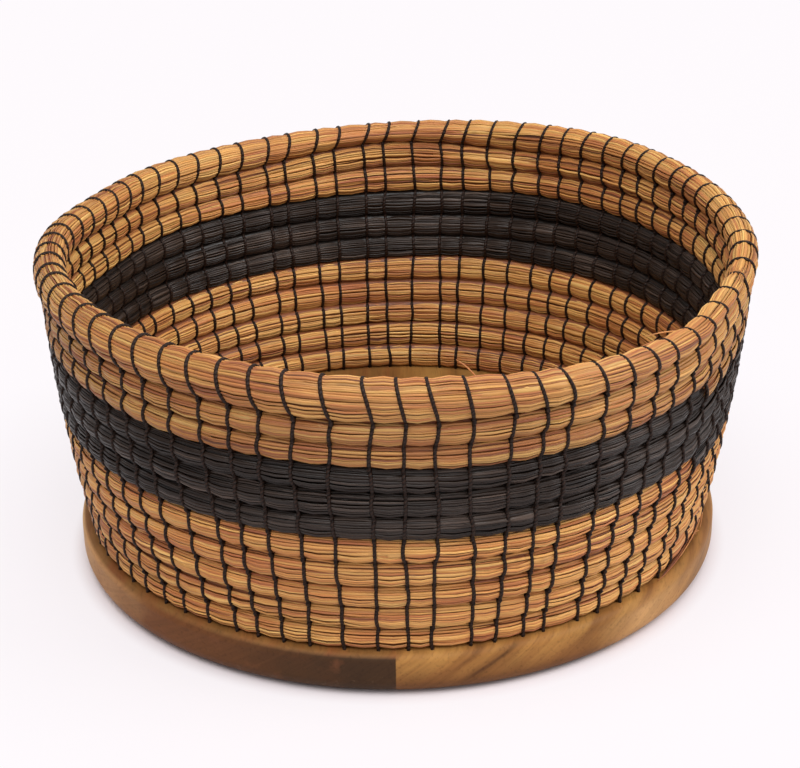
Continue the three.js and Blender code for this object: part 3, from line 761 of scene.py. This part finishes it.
def woodMaterial(name, look):
    material, tree, shader = newMaterial(name)
    place = addNode(tree, "TexCoord").outputs["Object"]
    inMm = addNode(tree, "VectorMath", {"operation": "SCALE", "Scale": 1 / mm}, {0: place})
    risen = addNode(tree, "VectorRotate", {
        "rotation_type": "Y_AXIS", "Angle": math.radians(look["grainRise"])}, {"Vector": inMm})
    xyz = addNode(tree, "SeparateXYZ", links={0: inMm}).outputs
    source = {axis: xyz[axis] for axis in "XYZ"}
    for part, (along, size, detail, rough, distortion) in look["patterns"].items():
        scaled = addNode(tree, "VectorMath", {"operation": "DIVIDE", 1: size}, {0: risen if along else inMm})
        source[part] = addNode(tree, "TexNoise", {
            "Scale": 1.0, "Detail": detail, "Roughness": rough, "Distortion": distortion}, {"Vector": scaled})
    flat = addNode(tree, "CombineXYZ", links={"X": source["X"], "Y": source["Y"]})
    source["out"] = addNode(tree, "VectorMath", {"operation": "LENGTH"}, {0: flat}).outputs["Value"]
    source["lowDust"] = addNode(tree, "MapRange", dict(zip(mapSpan, look["dustLow"])), {"Value": source["Z"]})
    most, waves, (footX, footZ) = look["stainDrift"], look["checkWave"], look["checkFoot"]
    rise = math.tan(math.radians(look["checkRise"]))
    steps = (  # what each makes, how, and from what
        ("angle", "ARCTAN2", "Y", "X"), ("fromRight", "ABSOLUTE", "angle"),  # alike in front and behind
        ("drift", "MULTIPLY_ADD", "blotch", most, -most / 2), ("round", "SUBTRACT", "drift", "fromRight"),
        ("wavy", "MULTIPLY_ADD", "blotch", waves, "Z"),  # the one thin dark check slants along the grain
        ("checkZ", "MULTIPLY_ADD", "X", rise, footZ + waves / 2 - rise * footX),
        ("above", "SUBTRACT", "wavy", "checkZ"), ("offCheck", "ABSOLUTE", "above"),
        ("dust", "ADD", "speck", "lowDust"),  # gathers low down
    )
    for part, operation, *terms in steps:
        given = {slot: term for slot, term in enumerate(terms) if term not in source}
        fed = {slot: source[term] for slot, term in enumerate(terms) if term in source}
        source[part] = addNode(tree, "Math", {"operation": operation, **given}, fed)
    amounts = {}
    for part, (read, *span) in look["levels"].items():
        amounts[part] = addNode(tree, "MapRange", dict(zip(mapSpan, span)), {"Value": source[read]})
    for part, (first, *others) in look["products"].items():
        amounts[part] = amounts[first]
        for other in others:
            both = {0: amounts[part], 1: amounts[other]}
            amounts[part] = addNode(tree, "Math", {"operation": "MULTIPLY"}, both)
    boards = []
    for board in ("right", "leftBoard"):
        ramp = addNode(tree, "ValToRGB", links={"Fac": source["grain"]})
        setRamp(ramp, [(at, look[tone]) for at, tone in look[board]])
        boards.append(ramp)
    right, left = boards
    # on the right board: darker low down, painted light at its far right, then the dark check
    for part, tone in (("lower", "low"), ("paler", "litFarRight"), ("checked", "line")):
        toned = {**mixColor, 7: linear(look[tone])}
        right = addNode(tree, "Mix", toned, {0: amounts[part], 6: right}).outputs[2]
    both = addNode(tree, "Mix", mixColor, {0: amounts["onLeft"], 6: right, 7: left}).outputs[2]
    ends = {6: linear(look["farLeftTanAndLight"]), 7: linear(look["leftSide"])}
    side = addNode(tree, "Mix", {**mixColor, **ends}, {0: amounts["brown"]}).outputs[2]
    toned = {**mixColor, 7: linear(look["dark"])}
    side = addNode(tree, "Mix", toned, {0: amounts["stain"], 6: side}).outputs[2]
    stained = addNode(tree, "Mix", mixColor, {0: amounts["edge"], 6: both, 7: side}).outputs[2]
    color = addNode(tree, "Mix", {**mixColor, "blend_type": "MULTIPLY", 0: 1.0},
                    {6: stained, 7: amounts["shade"]}).outputs[2]
    for part, tone in (("rubbed", "patch"), ("dusty", "dust")):
        toned = {**mixColor, 7: linear(look[tone])}
        color = addNode(tree, "Mix", toned, {0: amounts[part], 6: color}).outputs[2]
    bump = addNode(tree, "Bump", look["bump"], {"Height": source["pore"]})
    fill(tree, shader, {"IOR": look["ior"]}, {
        "Base Color": color, "Roughness": amounts["rough"], "Normal": bump})
    return material


def makeBase():
    radius, thickness, shoulder, foot = (base[k] for k in ("radius", "thickness", "shoulder", "foot"))
    inner, outer = groove - base["grooveHalf"], groove + base["grooveHalf"]
    profile = np.concatenate([
        [[inner, 0], [inner, base["grooveDepth"]], [outer, base["grooveDepth"]], [outer, 0]],
        arc(radius - foot, foot, foot, -90), arc(radius - shoulder, thickness - shoulder, shoulder, 0),
        [[radius - shoulder - base["topStep"], thickness]]])
    points, faces = latheMesh(profile, base["segments"])
    mesh = bpy.data.meshes.new("turnedBase")
    mesh.from_pydata(points, [], faces)
    piece = addObject("turnedBase", mesh)
    drills = bmesh.new()
    holeRadius = base["hole"] / 2 * mm
    for column in range(columnCount):
        angle = columnAngle(column)
        bottom, mouth = spoke(angle, groove, base["grooveDepth"] / 2), spoke(angle, mouthRadius, mouthHeight)
        way = Vector(mouth - bottom)
        top = Vector(mouth) + way.normalized() * holeRadius
        lean = way.to_track_quat("Z", "Y").to_matrix().to_4x4()
        bmesh.ops.create_cone(drills, cap_ends=True, segments=base["holeSides"], radius1=holeRadius,
                              radius2=holeRadius, depth=(top - Vector(bottom)).length,
                              matrix=Matrix.Translation((top + Vector(bottom)) / 2) @ lean)
    drillMesh = bpy.data.meshes.new("drills")
    drills.to_mesh(drillMesh)
    drills.free()
    drill = addObject("drills", drillMesh)
    cut = piece.modifiers.new("holes", "BOOLEAN")
    cut.operation, cut.solver, cut.object = "DIFFERENCE", "EXACT", drill
    bpy.context.view_layer.update()
    done = bpy.data.meshes.new_from_object(piece.evaluated_get(bpy.context.evaluated_depsgraph_get()))
    piece.modifiers.clear()
    piece.data = done
    bpy.data.objects.remove(drill)
    shape = bmesh.new()
    shape.from_mesh(done)
    for face in shape.faces:
        face.smooth = True
    for edge in shape.edges:
        edge.smooth = len(edge.link_faces) == 2 and edge.calc_face_angle(0) < math.radians(base["crease"])
    shape.to_mesh(done)
    shape.free()
    done.materials.clear()
    done.materials.append(woodMaterial("varnishedHardwood", woodLook))
    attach(piece, "root")
    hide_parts("wood_base")
    print("base turned, faces", len(done.polygons))


makeBase()


# the thread under the base, from hole to hole along the groove, mm
lacing = {
    "inHole": (0.6, 0.8), "bend": (0.3, 0.7),  # in and down from the mouth, out and up from the groove
    "span": (0.1, 0.9, 7), "spacing": 0.7, "aside": (0.3, 0.2, 1.0), "tint": (0.5, 1.0, 0.5, 1.0),
}


def makeLacing():
    batch = emptyBatch()
    strips = stripRows(columnCount // 2)
    middle = base["grooveDepth"] / 2
    (holeIn, holeDown), (bendOut, bendUp) = lacing["inHole"], lacing["bend"]
    for column in range(0, columnCount, 2):
        first, second = columnAngle(column), columnAngle(column + 1)
        ends = [[spoke(angle, mouthRadius - holeIn, mouthHeight - holeDown),
                 spoke(angle, groove + bendOut, middle + bendUp)] for angle in (first, second)]
        along = [spoke(first + (second - first) * t, groove, middle) for t in np.linspace(*lacing["span"])]
        points = evenPoints(np.array(ends[0] + along + ends[1][::-1]), lacing["spacing"])
        rings, run = threadRings(points, stitching["threadRadius"], np.array([lacing["aside"]]))
        addTube(batch, rings, run, np.array(lacing["tint"]), next(strips))
    makePiece("lacing", batch, waxedThread, [])
    print("lacing laid under the base")


makeLacing()

# pale floor and soft studio light
studio = {
    "floor": "#d6cdcf", "floorSize": 6, "floorDrop": 0.0002, "roughness": 0.9,
    "glow": "#fffbfe", "glowPart": (0.74, 0.97),
    "glowReach": (0.1, 0.17),  # metres out, whiter further from the basket and its shadow
    "contact": (0.0945, 0.102),  # metres out, the dark line of shade under the base's edge
    "sky": "#fbf7f9", "skyLevel": 0.62,
    "lamps": [  # place, aim, width, watts
        ((-0.2, -0.5, 1.25), (0, 0, 0.05), 1.1, 12),
        ((0.25, -1.0, 1.0), (0, 0, 0.05), 0.9, 4.2),
        ((0.95, -0.2, 0.85), (0, 0, 0.05), 0.8, 9),
    ],
}


def makeStudio():
    half = studio["floorSize"] / 2
    mesh = bpy.data.meshes.new("floor")
    corners = [(-half, -half, 0), (half, -half, 0), (half, half, 0), (-half, half, 0)]
    mesh.from_pydata(corners, [], [(0, 1, 2, 3)])
    floor = addObject("floor", mesh)
    floor.location.z = -studio["floorDrop"]
    material, tree, shader = newMaterial("palePaper")  # matt paper, plain white, keeps the shadow
    fill(tree, shader, {"Base Color": linear(studio["floor"]), "Roughness": studio["roughness"]})
    glow = addNode(tree, "Emission", {"Color": linear(studio["glow"]), "Strength": 1.0})
    light = addNode(tree, "LightPath").outputs
    part = light["Is Camera Ray"]
    for ray in ("Is Glossy Ray", "Is Transmission Ray"):
        part = addNode(tree, "Math", {"operation": "MAXIMUM"}, {0: part, 1: light[ray]})
    place = addNode(tree, "TexCoord").outputs["Object"]
    away = addNode(tree, "VectorMath", {"operation": "LENGTH"}, {0: place})
    shine = (*studio["glowReach"], *studio["glowPart"])
    for easing, span in (("LINEAR", shine), ("SMOOTHSTEP", studio["contact"])):
        level = addNode(tree, "MapRange", {"interpolation_type": easing, **dict(zip(mapSpan, span))},
                        {"Value": away.outputs["Value"]})
        part = addNode(tree, "Math", {"operation": "MULTIPLY"}, {0: part, 1: level})
    mixed = addNode(tree, "MixShader", links={0: part, 1: shader, 2: glow})
    fill(tree, tree.nodes["Material Output"], links={"Surface": mixed})
    mesh.materials.append(material)
    world = bpy.data.worlds.new("studioAir")
    world.use_nodes = True
    fill(world.node_tree, world.node_tree.nodes["Background"], {
        "Color": linear(studio["sky"]), "Strength": studio["skyLevel"]})
    scene.world = world
    for number, (place, aim, width, watts) in enumerate(studio["lamps"]):
        data = bpy.data.lights.new(f"softbox{number + 1}", "AREA")
        data.shape, data.size, data.energy = "DISK", width, watts
        lamp = addObject(data.name, data)
        way = Vector(aim) - Vector(place)
        lamp.matrix_world = Matrix.Translation(place) @ way.to_track_quat("-Z", "Y").to_matrix().to_4x4()
    print("studio set")


makeStudio()
